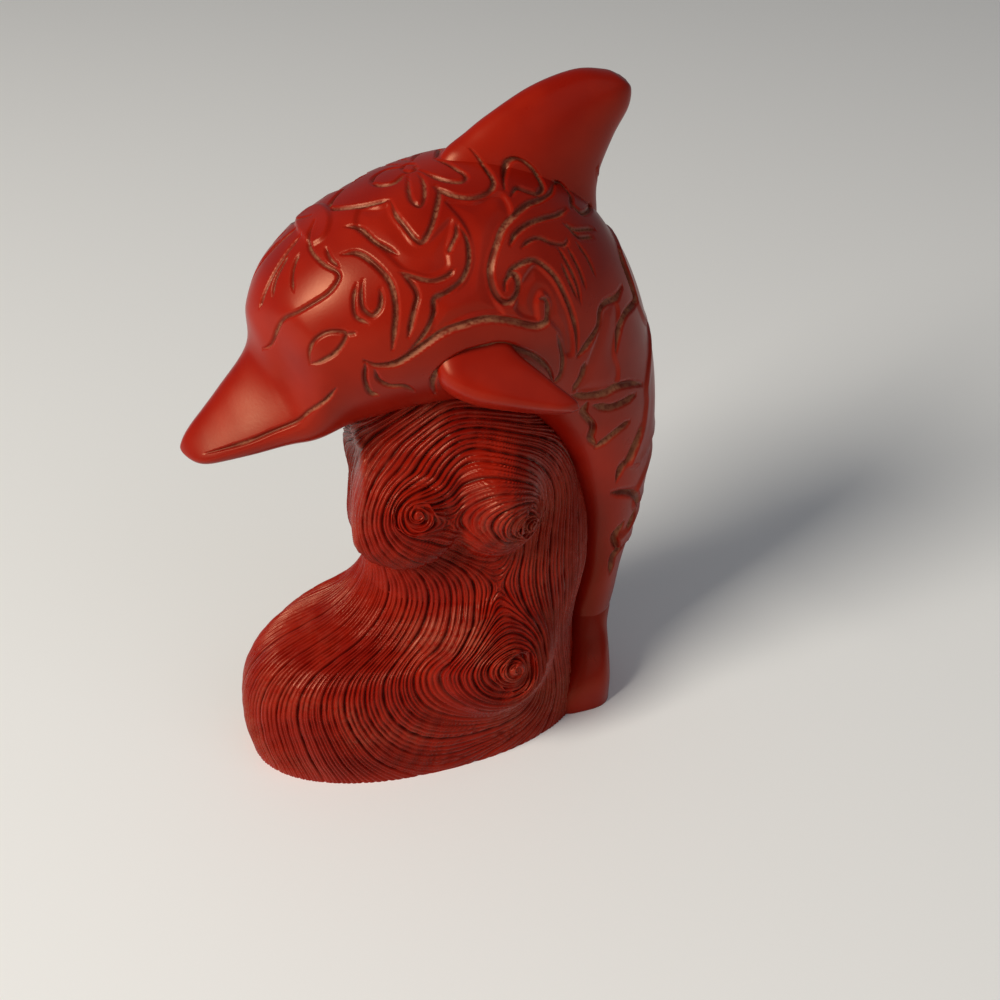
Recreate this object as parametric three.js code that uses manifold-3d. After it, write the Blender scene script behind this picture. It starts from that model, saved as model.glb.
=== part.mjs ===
// Carved resin figurine: a dolphin leaping over a curling wave.
// Millimetres, +Z up. The origin is on the table, under the wave. The beak points to -X, the tail
// comes down at +X, and the XZ plane divides the figure into a left half (-Y) and a right half (+Y).

import * as THREE from "three";
import { mergeVertices } from "three/addons/utils/BufferGeometryUtils.js";
import Module from "manifold-3d";

// Every bonded joint
const glueGap = 0.3; // clearance that the glue fills

// Body, from the beak to the foot of the tail
const leapHeight = 76.8; // table to the spine at the chest
const leapLength = 62.6; // beak tip to the foot of the tail, along X
const bodyDepth = 36.9; // back to belly at the loin
const bodyWidth = 33.6; // flank to flank at the chest

// Dorsal fin, with a tenon in the back
const finPlaceRatio = 0.572; // of the way from the beak to the tail
const finLeanDegrees = 22.5; // degrees that the root slopes down to the rear
const finChord = 23.5;
const finHeight = 14.8;
const finThickness = 9.2;
const tenonLength = 11;
const tenonThickness = 3.2;
const tenonDepth = 5; // below the ridge of the back
const tenonRise = 5; // above it, inside the fin

// Flippers, with a peg in each flank
const flipperPlaceRatio = 0.495; // of the way from the beak to the tail
const flipperAngleDegrees = 109; // degrees round the body from the ridge of the back
const flipperPitchDegrees = 18; // degrees that the root chord rises to the rear
const flipperDroopDegrees = 45; // degrees that the blade hangs below level
const flipperSpan = 10.4;
const flipperChord = 10.9;
const flipperThickness = 6.2;
const pegRadius = 1.5;
const pegDepth = 6; // inside the flank
const pegReach = 4; // inside the blade

// Tail flukes, upright on the table under the foot of the tail
const flukeHeight = 14.4;
const flukeSpan = 24.8;
const flukeThickness = 9.2;
const flukeForward = 2.8; // how far the edge on the table lies in front of the joint

// Wave that carries the belly
const waveReach = 35.8; // origin to the front of the swell
const waveBack = 22; // origin to the edge behind
const waveFootMargin = 0.8; // how much deeper the wave is than the chest is wide
const waveOverlap = 6; // how far the blank ran up past the belly before it was hollowed
const waveSquarenessExponent = 2.2; // 2 gives oval level sections, more gives squarer ones

// Curls on both faces of the wave: a dome on a plug
const curlSpacing = 0.4; // between the crest curl and the shoulder curl
const crestCurl = { radius: 8.6, tallRatio: 1.02, dome: 4.6, lift: 2.7, yaw: 22, pitch: 4 };
const shoulderCurl = { radius: 8.1, tallRatio: 1.2, dome: 6.2, lift: -0.8, yaw: 0, pitch: 4 };
const footCurl = { radius: 11.2, tallRatio: 1, dome: 3.6, lift: 0.4, yaw: -6, pitch: 10 };
const crestCurlX = { left: -11.4, right: -7.2 };
const crestCurlDrop = { left: 4.4, right: 1.7 }; // from the belly down to the crest curl's upper edge
const shoulderCurlDrop = 2.5; // and to the shoulder curl's
const footCurlX = 4;
const footCurlRise = 6.4; // table to the lower edge of the foot curl
const curlPlugDepth = 5;
const curlPlugTaperRatio = 0.7; // radius at the plug's end over that at the dome's rim

// Dowels through the glued joints
const bellyDowelRadius = 2;
const bellyDowelLength = 14;
const frontDowelPlaceRatio = 0.42; // of the way from the beak to the tail
const rearDowelPlaceRatio = 0.553;
const tailDowelRadius = 1.5;
const tailDowelLength = 14;

// Fineness of the facets
const bodyRingCount = 44;
const bodySideCount = 32;
const waveRingCount = 24;
const waveSideCount = 44;
const bladeRingCount = 13;
const bladeSideCount = 20;
const curlSideCount = 26;
const domeStepCount = 6;
const dowelSideCount = 20;
const bellySearchRatio = { ahead: 0.33, behind: 0.73 };
const bellySearchCount = 24;

const radians = THREE.MathUtils.degToRad;
const tailJointHeight = flukeHeight + glueGap;
const waveDepth = bodyWidth + waveFootMargin;

// Body stations: along X and up Z as shares of the leap, lean of the section in degrees,
// depth and width as shares of the body's.
const bodyStations = [
  [-0.636, 0.742, -8, 0.076, 0.083], // beak tip
  [-0.597, 0.755, -15, 0.203, 0.238],
  [-0.514, 0.793, -17, 0.322, 0.351], // middle of the beak
  [-0.431, 0.831, -19, 0.412, 0.5], // root of the beak
  [-0.377, 0.879, -28, 0.583, 0.667], // forehead
  [-0.304, 0.927, -26, 0.724, 0.804], // brow
  [-0.208, 0.971, -17, 0.827, 0.923], // crown
  [-0.072, 1, -7, 0.916, 1], // chest
  [0.072, 0.999, 2, 0.981, 0.976], // front of the dorsal fin
  [0.216, 0.941, 8, 1, 0.857], // loin
  [0.331, 0.827, 15, 0.955, 0.714],
  [0.401, 0.68, 24, 0.808, 0.571], // tail stock
  [0.424, 0.531, 32, 0.628, 0.44],
  [0.417, 0.393, 43, 0.423, 0.333],
  [0.388, 0.276, 58, 0.268, 0.274],
  [0.364, tailJointHeight / leapHeight, 90, 0.198, 0.25], // foot of the tail
];

// Fin stations: leading edge and trailing edge (along the chord, up), thickness, all as shares.
const finStations = [
  [-0.477, -0.6, 0.6, -0.57, 1.2],
  [-0.472, -0.14, 0.528, -0.14, 1],
  [-0.323, 0.277, 0.477, 0.149, 0.826],
  [-0.132, 0.642, 0.481, 0.473, 0.696],
  [0.085, 0.912, 0.502, 0.743, 0.565],
  [0.285, 1, 0.464, 0.926, 0.37],
  [0.37, 1, 0.413, 0.98, 0.087],
];

// Flipper stations: out along the span, leading and trailing edge along the chord, thickness and
// droop of the blade, all as shares.
const flipperStations = [
  [-0.42, -0.56, 0.4, 1.04, 0],
  [0, -0.58, 0.42, 1, 0],
  [0.356, -0.34, 0.57, 0.84, -0.03],
  [0.673, 0.147, 0.743, 0.68, -0.125],
  [0.904, 0.615, 0.872, 0.48, -0.22],
  [1, 0.844, 0.908, 0.16, -0.26],
];

// Fluke levels: height, thickness, span and offset to the front as shares, up to the narrow waist
// under the joint.
const flukeLevels = [
  [0, 1, 1, 1],
  [0.35, 0.97, 0.985, 0.98],
  [0.62, 0.88, 0.85, 0.77],
  [0.82, 0.79, 0.53, 0.43],
];

// Wave levels: height as a share of the wave's top, reach, back and depth as shares of theirs.
const waveLevels = [
  [0, 0.965, 0.92, 0.945],
  [0.09, 0.995, 0.91, 0.975],
  [0.197, 0.965, 0.9, 0.96],
  [0.288, 0.815, 0.92, 0.907],
  [0.356, 0.58, 0.96, 0.84],
  [0.432, 0.42, 1, 0.785],
  [0.515, 0.4, 1, 0.75],
  [0.606, 0.4, 0.97, 0.727],
  [0.697, 0.4, 0.9, 0.715],
  [0.788, 0.44, 0.77, 0.7],
  [0.879, 0.45, 0.58, 0.645],
  [1, 0.43, 0.38, 0.55],
];

const wasm = await Module();
wasm.setup();

// A closed geometry, put in place by a matrix, as a solid for cutting and joining.
function solidOf(geometry, matrix) {
  const bare = geometry.clone();
  bare.deleteAttribute("normal");
  bare.deleteAttribute("uv");
  bare.applyMatrix4(matrix);
  const merged = mergeVertices(bare, 1e-4);
  const vertProperties = merged.attributes.position.array;
  const triVerts = Uint32Array.from(merged.index.array);
  return new wasm.Manifold(new wasm.Mesh({ numProp: 3, vertProperties, triVerts }));
}

function geometryOf(solid) {
  const mesh = solid.getMesh();
  const geometry = new THREE.BufferGeometry();
  geometry.setAttribute("position", new THREE.BufferAttribute(mesh.vertProperties, 3));
  geometry.setIndex(new THREE.BufferAttribute(mesh.triVerts, 1));
  geometry.computeVertexNormals();
  return geometry;
}

const inPlace = new THREE.Matrix4();

function placed(object) {
  object.updateMatrix();
  return object.matrix;
}

// The mirror image across the XZ plane, with its faces turned out again.
function mirrored(geometry) {
  const image = geometry.clone();
  image.scale(1, -1, 1);
  const corners = image.index.array;
  for (let i = 0; i < corners.length; i += 3) {
    [corners[i + 1], corners[i + 2]] = [corners[i + 2], corners[i + 1]];
  }
  image.computeVertexNormals();
  return image;
}

// A row of a table, carried on straight past both ends.
function tableRow(table, index) {
  const last = table.length - 1;
  if (index < 0) {
    return table[0].map((value, column) => 2 * value - table[1][column]);
  }
  if (index > last) {
    return table[last].map((value, column) => 2 * value - table[last - 1][column]);
  }
  return table[index];
}

// The table's columns at any station number, on a smooth curve through the rows (Catmull-Rom).
function atStation(table, station) {
  const index = Math.min(Math.floor(station), table.length - 2);
  const t = station - index;
  const before = tableRow(table, index - 1);
  const start = tableRow(table, index);
  const end = tableRow(table, index + 1);
  const after = tableRow(table, index + 2);
  return start.map((value, column) => {
    const slope = (end[column] - before[column]) / 2;
    const nextSlope = (after[column] - value) / 2;
    const step = end[column] - value;
    return value + slope * t + (3 * step - 2 * slope - nextSlope) * t ** 2
      + (slope + nextSlope - 2 * step) * t ** 3;
  });
}

// A closed skin over rings of points, capped at both ends.
function loft(rings) {
  const sides = rings[0].length;
  const points = rings.flat();
  const corners = [];
  for (let ring = 0; ring + 1 < rings.length; ring++) {
    for (let k = 0; k < sides; k++) {
      const a = ring * sides + k;
      const b = ring * sides + ((k + 1) % sides);
      corners.push(a, b, a + sides, b, b + sides, a + sides);
    }
  }
  for (const ring of [0, rings.length - 1]) {
    const middle = points.length;
    const sum = rings[ring].reduce((total, point) => total.add(point), new THREE.Vector3());
    points.push(sum.divideScalar(sides));
    for (let k = 0; k < sides; k++) {
      const a = ring * sides + k;
      const b = ring * sides + ((k + 1) % sides);
      corners.push(middle, ...(ring === 0 ? [b, a] : [a, b]));
    }
  }
  const geometry = new THREE.BufferGeometry().setFromPoints(points);
  geometry.setIndex(corners);
  geometry.computeVertexNormals();
  return geometry;
}

// A loft with one ring for each even step along a table of stations.
function loftStations(table, ringCount, sides, pointAt) {
  const rings = [];
  for (let ring = 0; ring < ringCount; ring++) {
    const station = ((table.length - 1) * ring) / (ringCount - 1);
    const points = [];
    for (let k = 0; k < sides; k++) {
      points.push(pointAt(station, (2 * Math.PI * k) / sides));
    }
    rings.push(points);
  }
  return loft(rings);
}

// Point on the body: the angle runs from the ridge of the back down the left flank.
function bodyPoint(station, angle, grow = 0) {
  const [along, up, lean, depth, width] = atStation(bodyStations, station);
  const rise = ((depth * bodyDepth) / 2 + grow) * Math.cos(angle);
  const side = ((width * bodyWidth) / 2 + grow) * Math.sin(angle);
  return new THREE.Vector3(
    along * leapLength + rise * Math.sin(radians(lean)),
    -side,
    up * leapHeight + rise * Math.cos(radians(lean)),
  );
}

// Station number at a share of the way from the beak to the tail.
function bodyStationAt(ratio) {
  return ratio * (bodyStations.length - 1);
}

function bodyShape(grow) {
  return loftStations(bodyStations, bodyRingCount, bodySideCount, (s, angle) => bodyPoint(s, angle, grow));
}

function finShape() {
  return loftStations(finStations, bladeRingCount, bladeSideCount, (station, angle) => {
    const [leadX, leadZ, trailX, trailZ, thickness] = atStation(finStations, station);
    const across = Math.cos(angle) / 2;
    return new THREE.Vector3(
      ((leadX + trailX) / 2 + (trailX - leadX) * across) * finChord,
      (thickness * finThickness * Math.sin(angle)) / 2,
      ((leadZ + trailZ) / 2 + (trailZ - leadZ) * across) * finHeight,
    );
  });
}

function flipperShape() {
  return loftStations(flipperStations, bladeRingCount, bladeSideCount, (station, angle) => {
    const [out, lead, trail, thickness, droop] = atStation(flipperStations, station);
    const across = Math.cos(angle) / 2;
    return new THREE.Vector3(
      ((lead + trail) / 2 + (trail - lead) * across) * flipperChord,
      -out * flipperSpan,
      droop * flipperSpan + (thickness * flipperThickness * Math.sin(angle)) / 2,
    );
  });
}

// The flukes narrow upward into the oval of the foot of the tail.
const [tailX, , , tailDepth, tailWidth] = bodyStations.at(-1);
const tailFoot = { x: tailX * leapLength, depth: tailDepth * bodyDepth, width: tailWidth * bodyWidth };
const flukeRows = [
  ...flukeLevels.map(([up, thick, span, forward]) => [
    up * flukeHeight,
    thick * flukeThickness,
    span * flukeSpan,
    forward * flukeForward,
  ]),
  [flukeHeight, tailFoot.depth, tailFoot.width, 0],
];

function flukeShape(grow) {
  return loftStations(flukeRows, bladeRingCount, bladeSideCount, (station, angle) => {
    const [up, thick, span, forward] = atStation(flukeRows, station);
    return new THREE.Vector3(
      tailFoot.x - forward + (thick / 2 + grow) * Math.cos(angle),
      (span / 2 + grow) * Math.sin(angle),
      up,
    );
  });
}

const waveTop = bodyPoint(bodyStationAt(frontDowelPlaceRatio), Math.PI).z + waveOverlap;

function power(value, exponent) {
  return Math.sign(value) * Math.abs(value) ** exponent;
}

function waveShape() {
  return loftStations(waveLevels, waveRingCount, waveSideCount, (station, angle) => {
    const [up, reach, back, depth] = atStation(waveLevels, station);
    const front = -reach * waveReach;
    const rear = back * waveBack;
    const middle = (front + rear) / 2;
    return new THREE.Vector3(
      middle + ((rear - front) / 2) * power(Math.cos(angle), 2 / waveSquarenessExponent),
      ((depth * waveDepth) / 2) * power(Math.sin(angle), 2 / waveSquarenessExponent),
      up * waveTop,
    );
  });
}

// Height of the belly over a place along X, found by halving the run of stations from brow to tail.
function bellyHeight(x) {
  let ahead = bodyStationAt(bellySearchRatio.ahead);
  let behind = bodyStationAt(bellySearchRatio.behind);
  for (let halving = 0; halving < bellySearchCount; halving++) {
    const between = (ahead + behind) / 2;
    if (bodyPoint(between, Math.PI).x < x) {
      ahead = between;
    } else {
      behind = between;
    }
  }
  return bodyPoint(ahead, Math.PI).z;
}

// Half the wave's thickness at a place on its face.
function waveHalfDepth(x, height) {
  const share = height / waveTop;
  const last = waveLevels.length - 1;
  let station = waveLevels.findIndex(([up]) => up > share) - 1;
  station = THREE.MathUtils.clamp(station, 0, last - 1);
  const [low, high] = [waveLevels[station][0], waveLevels[station + 1][0]];
  const [, reach, back, depth] = atStation(waveLevels, station + (share - low) / (high - low));
  const front = -reach * waveReach;
  const rear = back * waveBack;
  const offset = Math.abs((2 * x - front - rear) / (rear - front));
  const fullness = Math.max(1 - offset ** waveSquarenessExponent, 0) ** (1 / waveSquarenessExponent);
  return ((depth * waveDepth) / 2) * fullness;
}

// A curl is a shallow dome on a tapered plug, turned about its own axis (+Y outward).
function curlShape({ radius, tallRatio, dome }, grow) {
  const wide = radius + grow;
  const plugEnd = -curlPlugDepth - grow;
  const profile = [new THREE.Vector2(0, plugEnd), new THREE.Vector2(wide * curlPlugTaperRatio, plugEnd)];
  for (let step = 0; step <= domeStepCount; step++) {
    const angle = (Math.PI / 2) * (step / domeStepCount);
    const x = step === domeStepCount ? 0 : wide * Math.cos(angle);
    profile.push(new THREE.Vector2(x, (dome + grow) * Math.sin(angle)));
  }
  const geometry = new THREE.LatheGeometry(profile, curlSideCount);
  geometry.scale(1, 1, tallRatio);
  return geometry;
}

// Materials: satin lacquered resin, a duller one where the wave is combed, and pale wood.
const resinRed = 0x9e2015;
const waveRed = 0x841c14;
const dowelWood = 0xc8a374;

function resin(color, roughness) {
  return new THREE.MeshStandardMaterial({ color, roughness, metalness: 0 });
}

function piece(name, geometry, material) {
  const mesh = new THREE.Mesh(geometry, material);
  mesh.name = name;
  return mesh;
}

const figurine = new THREE.Group();

// Dowels across the belly joint and the tail joint, upright on the joint's middle. Each one gives
// back the bore that its two pieces need.
function dowel(name, radius, length, x, z) {
  const shape = new THREE.CylinderGeometry(radius, radius, length, dowelSideCount);
  const mesh = piece(name, shape, resin(dowelWood, 0.8));
  mesh.position.set(x, 0, z);
  mesh.rotation.x = Math.PI / 2;
  figurine.add(mesh);
  const boreRadius = radius + glueGap;
  const boreLength = length + 2 * glueGap;
  const bore = new THREE.CylinderGeometry(boreRadius, boreRadius, boreLength, dowelSideCount);
  return solidOf(bore, placed(mesh));
}

function bellyDowel(name, placeRatio) {
  const seat = bodyPoint(bodyStationAt(placeRatio), Math.PI);
  return dowel(name, bellyDowelRadius, bellyDowelLength, seat.x, seat.z);
}

const frontBore = bellyDowel("front_belly_dowel", frontDowelPlaceRatio);
const rearBore = bellyDowel("rear_belly_dowel", rearDowelPlaceRatio);
const tailBore = dowel("tail_dowel", tailDowelRadius, tailDowelLength, tailFoot.x, tailJointHeight);

// Dorsal fin, fitted to the back, with its tenon
const bodySpace = solidOf(bodyShape(glueGap), inPlace);
const fin = piece("dorsal_fin", finShape(), resin(resinRed, 0.35));
fin.position.copy(bodyPoint(bodyStationAt(finPlaceRatio), 0));
fin.rotation.y = radians(finLeanDegrees);

function tenonBlock(grow) {
  const height = tenonDepth + tenonRise + 2 * grow;
  const block = new THREE.BoxGeometry(tenonLength + 2 * grow, tenonThickness + 2 * grow, height);
  block.translate(0, 0, (tenonRise - tenonDepth) / 2);
  return solidOf(block, placed(fin));
}

// Trims a placed piece to the body's surface and joins its tenon or peg to it.
function fitToBody(mesh, insert) {
  const fitted = solidOf(mesh.geometry, placed(mesh)).subtract(bodySpace).add(insert);
  mesh.geometry = geometryOf(fitted).applyMatrix4(mesh.matrix.clone().invert());
}

fitToBody(fin, tenonBlock(0));
figurine.add(fin);

// Flippers, fitted to the flanks, each with its peg
const leftFlipper = piece("left_flipper", flipperShape(), resin(resinRed, 0.35));
leftFlipper.position.copy(bodyPoint(bodyStationAt(flipperPlaceRatio), radians(flipperAngleDegrees)));
leftFlipper.rotation.set(radians(flipperDroopDegrees), -radians(flipperPitchDegrees), 0, "YXZ");

function pegPin(grow) {
  const radius = pegRadius + grow;
  const pin = new THREE.CylinderGeometry(radius, radius, pegDepth + pegReach + grow, dowelSideCount);
  pin.translate(0, (pegDepth - pegReach + grow) / 2, 0);
  return solidOf(pin, placed(leftFlipper));
}

fitToBody(leftFlipper, pegPin(0));
const rightFlipper = piece("right_flipper", mirrored(leftFlipper.geometry), resin(resinRed, 0.35));
rightFlipper.position.copy(leftFlipper.position).setY(-leftFlipper.position.y);
rightFlipper.rotation.set(-radians(flipperDroopDegrees), -radians(flipperPitchDegrees), 0, "YXZ");
figurine.add(leftFlipper, rightFlipper);

// Body, bored for the dowels and socketed for the tenon and the pegs
const leftSocket = pegPin(glueGap);
const rightSocket = solidOf(mirrored(geometryOf(leftSocket)), inPlace);
const body = solidOf(bodyShape(0), inPlace)
  .subtract(tenonBlock(glueGap))
  .subtract(leftSocket)
  .subtract(rightSocket)
  .subtract(frontBore)
  .subtract(rearBore)
  .subtract(tailBore);
figurine.add(piece("dolphin_body", geometryOf(body), resin(resinRed, 0.35)));

// Tail flukes, bored for the tail dowel
const flukes = solidOf(flukeShape(0), inPlace).subtract(tailBore);
figurine.add(piece("tail_flukes", geometryOf(flukes), resin(resinRed, 0.35)));

// Wave, hollowed to the belly and the tail, bored for the dowels and socketed for the curls
let wave = solidOf(waveShape(), inPlace)
  .subtract(bodySpace)
  .subtract(solidOf(flukeShape(glueGap), inPlace))
  .subtract(frontBore)
  .subtract(rearBore);

// Height of a curl's middle when its upper edge lies a drop below the belly.
function underBelly(x, drop, size) {
  return bellyHeight(x) - drop - size.radius * size.tallRatio;
}

const crestToShoulder = crestCurl.radius + curlSpacing + shoulderCurl.radius;
const footCurlHeight = footCurl.radius + footCurlRise;
for (const side of ["left", "right"]) {
  const crestX = crestCurlX[side];
  const shoulderX = crestX + crestToShoulder;
  const crestHeight = underBelly(crestX, crestCurlDrop[side], crestCurl);
  const shoulderHeight = underBelly(shoulderX, shoulderCurlDrop, shoulderCurl);
  const curls = [
    { name: "crest_curl", size: crestCurl, x: crestX, height: crestHeight },
    { name: "shoulder_curl", size: shoulderCurl, x: shoulderX, height: shoulderHeight },
    { name: "foot_curl", size: footCurl, x: footCurlX, height: footCurlHeight },
  ];
  for (const { name, size, x, height } of curls) {
    const out = waveHalfDepth(x, height) + size.lift;
    const yaw = radians(size.yaw);
    const curl = piece(`${side}_${name}`, curlShape(size, 0), resin(waveRed, 0.5));
    curl.position.set(x, side === "left" ? -out : out, height);
    curl.rotation.set(radians(size.pitch), 0, side === "left" ? Math.PI - yaw : yaw, "ZXY");
    wave = wave.subtract(solidOf(curlShape(size, glueGap), placed(curl)));
    figurine.add(curl);
  }
}
figurine.add(piece("wave_base", geometryOf(wave), resin(waveRed, 0.5)));

export default figurine;
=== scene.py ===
import bpy
import numpy as np
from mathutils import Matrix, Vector


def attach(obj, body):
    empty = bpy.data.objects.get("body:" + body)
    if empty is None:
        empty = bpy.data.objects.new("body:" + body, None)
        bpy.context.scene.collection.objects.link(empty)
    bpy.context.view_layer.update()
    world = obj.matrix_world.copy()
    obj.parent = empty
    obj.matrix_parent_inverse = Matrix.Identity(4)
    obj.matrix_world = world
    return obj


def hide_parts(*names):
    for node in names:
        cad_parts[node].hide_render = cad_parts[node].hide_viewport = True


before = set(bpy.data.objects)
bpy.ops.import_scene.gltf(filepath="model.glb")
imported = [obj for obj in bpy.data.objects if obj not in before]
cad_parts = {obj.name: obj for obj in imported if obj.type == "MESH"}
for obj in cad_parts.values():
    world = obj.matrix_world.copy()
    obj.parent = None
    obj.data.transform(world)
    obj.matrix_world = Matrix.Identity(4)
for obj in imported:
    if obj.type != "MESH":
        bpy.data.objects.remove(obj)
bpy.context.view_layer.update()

# Dolphin: head, beak, trunk and tail stock, one casting of cinnabar red resin under a satin lacquer.
# Its mould parts on the middle plane, so a left and a right half meet there. The scrolls, leaves,
# flower, eyes and mouth are cut with a V tool, and tan polishing dust stays in the cuts. Painted
# shade darkens the bottoms of the cuts to maroon, and the walls of the cuts that face up and towards
# the lamp are painted tan, partly dust and partly painted light.
mm = 0.001
leap_height = 76.8
leap_length = 62.6
body_depth = 36.9
body_width = 33.6
body_stations = np.array([  # along, up, lean in degrees, depth, width, from the beak to the tail
    [-0.636, 0.745, -8, 0.08, 0.18],
    [-0.597, 0.758, -15, 0.13, 0.28],
    [-0.514, 0.8, -17, 0.235, 0.45],
    [-0.431, 0.846, -19, 0.355, 0.6],
    [-0.377, 0.887, -28, 0.56, 0.71],
    [-0.304, 0.927, -26, 0.724, 0.804],
    [-0.208, 0.971, -17, 0.827, 0.923],
    [-0.072, 1, -7, 0.916, 1],
    [0.072, 0.999, 2, 0.981, 0.976],
    [0.216, 0.941, 8, 1, 0.857],
    [0.327, 0.827, 15, 0.945, 0.714],
    [0.395, 0.68, 24, 0.795, 0.571],
    [0.424, 0.531, 32, 0.628, 0.44],
    [0.417, 0.393, 43, 0.423, 0.333],
    [0.39, 0.276, 58, 0.285, 0.28],
    [0.369, 0.191, 90, 0.225, 0.26],
])


def along_table(table, station):
    """Rows of a table at fractional row numbers: a uniform Catmull-Rom curve through the rows,
    with one more row mirrored past each end."""
    rows = np.vstack([2 * table[0] - table[1], table, 2 * table[-1] - table[-2]])
    start = np.clip(np.floor(station).astype(int), 0, len(table) - 2)
    share = (station - start)[..., None]
    before, here, after, beyond = (rows[start + step] for step in range(4))
    bend = 2 * before - 5 * here + 4 * after - beyond
    twist = 3 * here - before - 3 * after + beyond
    return here + share / 2 * (after - before + share * (bend + share * twist))


nose_station = 1.25
beak_end, beak_fade = 5, 1.8  # station where the beak has become the head, and over how many it does so
chin_drop = 0.42  # how far the widest line of the beak lies below its middle, as a share of half its depth
beak_wedge, wedge_power = 0.42, 1.3  # how much narrower than an oval the beak is above, and how abruptly
crease_depth = 0.15  # between the beak and the cheek, as a share of the section
crease_station, crease_length = 3.95, 0.55
crease_angle, crease_spread = np.radians(56), np.radians(22)


def smooth(value):
    """Smooth step from 0 at 0 to 1 at 1."""
    share = np.clip(value, 0, 1)
    return share * share * (3 - 2 * share)


def body_point(station, angle):
    """Oval section at a station, leaning with the leap: the angle runs from the ridge of the back
    down the left flank to the belly. The beak is a wedge, widest low down, and rounds off at its tip.
    A crease divides its upper face from the cheek."""
    along, up, lean, depth, width = np.moveaxis(along_table(body_stations, station), -1, 0)
    closing = np.sqrt(1 - np.clip(1 - station / nose_station, 0, 1) ** 2)
    beak = smooth((beak_end - station) / beak_fade)
    drop = chin_drop * beak * np.sin(angle) ** 2
    crease = np.exp(-((station - crease_station) / crease_length) ** 2
                    - ((angle - crease_angle) / crease_spread) ** 2)
    closing = closing * (1 - crease_depth * crease)
    rise = closing * depth * body_depth / 2 * (np.cos(angle) - drop)
    side = closing * width * body_width / 2 * np.sin(angle)
    side = side * (1 - beak_wedge * beak * np.maximum(np.cos(angle), 0) ** wedge_power)
    lean = np.radians(lean)
    return np.stack([
        along * leap_length + rise * np.sin(lean),
        -side,
        up * leap_height + rise * np.cos(lean),
    ], -1)


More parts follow.
